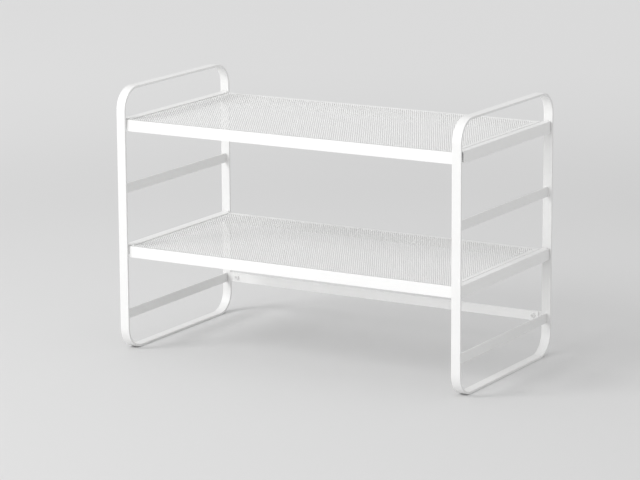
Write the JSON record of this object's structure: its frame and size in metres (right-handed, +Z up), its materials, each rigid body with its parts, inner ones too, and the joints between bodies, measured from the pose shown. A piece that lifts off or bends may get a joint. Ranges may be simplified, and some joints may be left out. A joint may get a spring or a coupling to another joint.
{
  "type": "tiered shelf riser",
  "caption": "White metal shelf riser: two rounded strip side loops with flat rungs, carrying lift-off expanded-mesh shelves on folded hooks, tied by a rear brace.",
  "frame": {"origin": "middle of the footprint, on the floor plane under the two bottom bars", "axes": "+Z up, +X from the left side loop to the right one along the shelves, -Y is the front"},
  "size_m": [0.59, 0.3, 0.409],
  "materials": {
    "frame_white": "satin white powder coat",
    "rung_white": "satin white powder coat",
    "brace_white": "satin white powder coat",
    "shelf_white": "satin white powder coat",
    "mesh_white": "satin white powder coat on expanded metal",
    "screw_white": "white painted screw head"
  },
  "bodies": {
    "frame": {"left_side_loop": "frame_white", "left_upper_rung": "rung_white", "left_middle_rung": "rung_white", "left_lower_rung": "rung_white", "left_bottom_rung": "rung_white", "left_brace_tab": "frame_white", "right_side_loop": "frame_white", "right_upper_rung": "rung_white", "right_middle_rung": "rung_white", "right_lower_rung": "rung_white", "right_bottom_rung": "rung_white", "right_brace_tab": "frame_white", "rear_brace": "brace_white", "brace_screws": "screw_white"},
    "upper_shelf": {"upper_deck_mesh": "mesh_white", "upper_front_rim": "shelf_white", "upper_back_rim": "shelf_white", "upper_left_hook": "shelf_white", "upper_left_edge_strip": "shelf_white", "upper_right_hook": "shelf_white", "upper_right_edge_strip": "shelf_white"},
    "lower_shelf": {"lower_deck_mesh": "mesh_white", "lower_front_rim": "shelf_white", "lower_back_rim": "shelf_white", "lower_left_hook": "shelf_white", "lower_left_edge_strip": "shelf_white", "lower_right_hook": "shelf_white", "lower_right_edge_strip": "shelf_white"}
  },
  "joints": [
    {"name": "upper_shelf_lift", "type": "slide", "parent": "frame", "child": "upper_shelf", "axis": [0, 0, 1], "range_m": [0, 0.018]},
    {"name": "lower_shelf_lift", "type": "slide", "parent": "frame", "child": "lower_shelf", "axis": [0, 0, 1], "range_m": [0, 0.06]}
  ]
}
